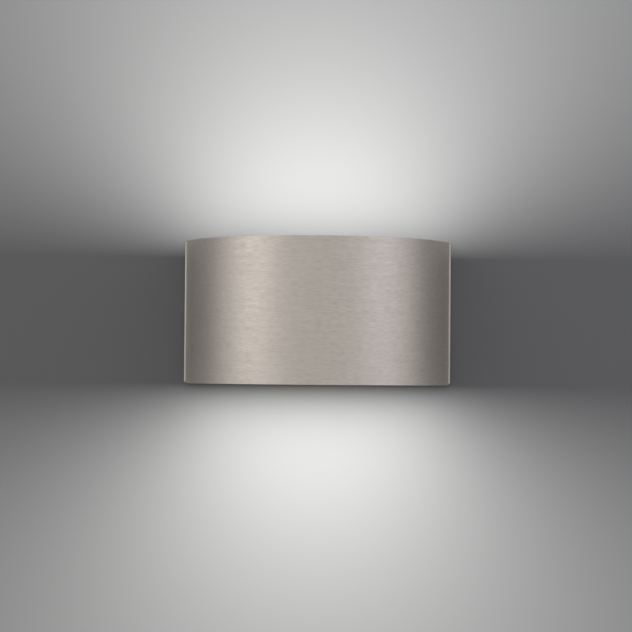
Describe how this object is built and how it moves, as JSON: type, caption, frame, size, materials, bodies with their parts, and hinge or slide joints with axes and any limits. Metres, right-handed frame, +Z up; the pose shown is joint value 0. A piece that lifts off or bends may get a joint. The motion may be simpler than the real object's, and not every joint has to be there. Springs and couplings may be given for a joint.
{
  "type": "wall light",
  "caption": "Half-tube wall light in brushed nickel, lit upwards and downwards from opal panels inside its open top and bottom.",
  "frame": {"origin": "in the wall plane, midway between the two wall-screw slots", "axes": "+X to the lamp's right as it is looked at, +Y into the wall, +Z up; the front of the shade faces -Y"},
  "size_m": [0.224, 0.088, 0.12],
  "materials": {
    "nickel_shade": "satin nickel plate, brushed round the curve",
    "nickel_plate": "satin nickel plate on pressed steel",
    "nickel_thumb": "turned and nickel plated",
    "zinc_steel": "bright zinc plate",
    "white_enamel": "white stoved enamel on aluminium",
    "white_board": "white solder mask on an aluminium core",
    "led_phosphor": "yellow phosphor under clear silicone",
    "opal_acrylic": "opal, satin face",
    "white_polycarbonate": "moulded, fine spark texture",
    "green_board": "green solder mask",
    "grey_ferrite": "sintered",
    "capacitor_sleeve": "shrunk sleeve",
    "white_nylon": "moulded",
    "brown_nylon": "moulded",
    "blue_nylon": "moulded",
    "green_nylon": "moulded",
    "plated_brass": "tinned",
    "tinned_copper": "tinned copper",
    "mains_sleeve": "extruded insulation, brown and blue",
    "earth_sleeve": "extruded insulation, green and yellow",
    "lead_sleeve": "extruded silicone insulation, red and black",
    "black_rubber": "moulded"
  },
  "bodies": {
    "wall_unit": {"base_pan": "nickel_plate", "cable_grommet": "black_rubber", "bracket_left": "zinc_steel", "bracket_right": "zinc_steel", "bracket_rivets": "zinc_steel", "bush_left": "zinc_steel", "bush_right": "zinc_steel", "up_tray": "white_enamel", "down_tray": "white_enamel", "tray_screws": "zinc_steel", "up_board": "white_board", "down_board": "white_board", "up_leds": "led_phosphor", "down_leds": "led_phosphor", "board_screws": "zinc_steel", "board_connectors": "white_nylon", "up_diffuser": "opal_acrylic", "down_diffuser": "opal_acrylic", "diffuser_screws": "zinc_steel", "driver_case": "white_polycarbonate", "driver_lid": "white_polycarbonate", "driver_board": "green_board", "driver_transformer": "grey_ferrite", "driver_capacitors": "capacitor_sleeve", "driver_screws": "zinc_steel", "terminal_block": "white_nylon", "terminal_contacts": "plated_brass", "earth_stud": "zinc_steel", "earth_lug": "tinned_copper", "earth_washer": "zinc_steel", "earth_nut": "zinc_steel", "mains_leads": "mains_sleeve", "earth_lead": "earth_sleeve", "up_leads": "lead_sleeve", "down_leads": "lead_sleeve"},
    "shade_unit": {"shade": "nickel_shade", "upper_lug_left": "zinc_steel", "upper_lug_right": "zinc_steel", "lower_lug_left": "zinc_steel", "lower_lug_right": "zinc_steel"},
    "left_washer": {"thumb_washer_left": "zinc_steel"},
    "right_washer": {"thumb_washer_right": "zinc_steel"},
    "left_screw": {"thumb_screw_left": "nickel_thumb"},
    "right_screw": {"thumb_screw_right": "nickel_thumb"},
    "live_release": {"button_live": "brown_nylon"},
    "neutral_release": {"button_neutral": "blue_nylon"},
    "earth_release": {"button_earth": "green_nylon"}
  },
  "joints": [
    {"name": "shade_slide", "type": "slide", "parent": "wall_unit", "child": "shade_unit", "axis": [0, -1, 0], "range_m": [0, 0.1]},
    {"name": "left_screw_travel", "type": "slide", "parent": "wall_unit", "child": "left_washer", "axis": [0, 0, -1], "range_m": [0, 0.0036]},
    {"name": "left_screw_turn", "type": "hinge", "parent": "left_washer", "child": "left_screw", "pos_m": [-0.0915, -0.02, -0.053], "axis": [0, 0, -1], "range_deg": [0, 1800]},
    {"name": "right_screw_travel", "type": "slide", "parent": "wall_unit", "child": "right_washer", "axis": [0, 0, -1], "range_m": [0, 0.0036]},
    {"name": "right_screw_turn", "type": "hinge", "parent": "right_washer", "child": "right_screw", "pos_m": [0.0915, -0.02, -0.053], "axis": [0, 0, -1], "range_deg": [0, 1800]},
    {"name": "live_press", "type": "slide", "parent": "wall_unit", "child": "live_release", "axis": [0, 1, 0], "range_m": [0, 0.0012], "stiffness_N_per_m": 600, "springref_m": -0.002},
    {"name": "neutral_press", "type": "slide", "parent": "wall_unit", "child": "neutral_release", "axis": [0, 1, 0], "range_m": [0, 0.0012], "stiffness_N_per_m": 600, "springref_m": -0.002},
    {"name": "earth_press", "type": "slide", "parent": "wall_unit", "child": "earth_release", "axis": [0, 1, 0], "range_m": [0, 0.0012], "stiffness_N_per_m": 600, "springref_m": -0.002}
  ],
  "couplings": [
    {"joint": "left_screw_travel", "follows": "left_screw_turn", "m_per_rad": 0.00011141},
    {"joint": "right_screw_travel", "follows": "right_screw_turn", "m_per_rad": 0.00011141}
  ]
}
